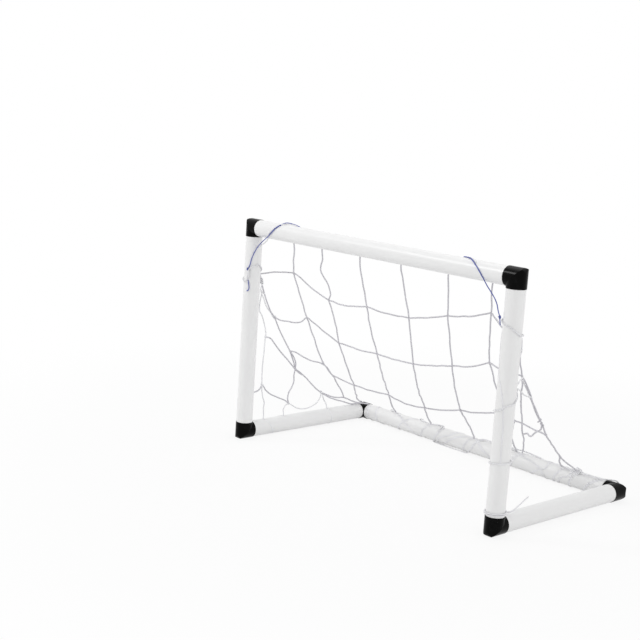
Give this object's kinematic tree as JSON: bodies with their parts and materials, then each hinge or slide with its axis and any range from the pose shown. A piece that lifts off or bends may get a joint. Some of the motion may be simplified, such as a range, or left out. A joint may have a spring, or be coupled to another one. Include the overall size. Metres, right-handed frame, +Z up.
{
  "type": "small football goal with net",
  "caption": "Free-standing small goal: plastic tubes pushed onto moulded mitred corner elbows, with a knotted string net laced behind the crossbar, to the posts and round the rear bar.",
  "frame": {"origin": "middle of the goal's footprint, on the floor it stands on", "axes": "+X to the right across the mouth seen from in front, +Y from the mouth back to the rear bar, +Z up"},
  "size_m": [0.6865, 0.3716, 0.4397],
  "materials": {
    "tube_plastic": "satin white extruded tube",
    "elbow_plastic": "semi-gloss black injection moulding",
    "net_cord": "twisted white synthetic cord, hand knotted",
    "tie_string": "thin blue twisted string"
  },
  "bodies": {
    "root": {"crossbar": "tube_plastic", "post_left": "tube_plastic", "post_right": "tube_plastic", "side_tube_left": "tube_plastic", "side_tube_right": "tube_plastic", "rear_bar": "tube_plastic", "elbow_top_left": "elbow_plastic", "elbow_top_right": "elbow_plastic", "elbow_front_left": "elbow_plastic", "elbow_front_right": "elbow_plastic", "elbow_rear_left": "elbow_plastic", "elbow_rear_right": "elbow_plastic", "net": "net_cord", "head_cord": "net_cord", "lacing_left": "net_cord", "lacing_right": "net_cord", "side_cord": "net_cord", "tie_left": "tie_string", "tie_right": "tie_string"}
  },
  "joints": []
}
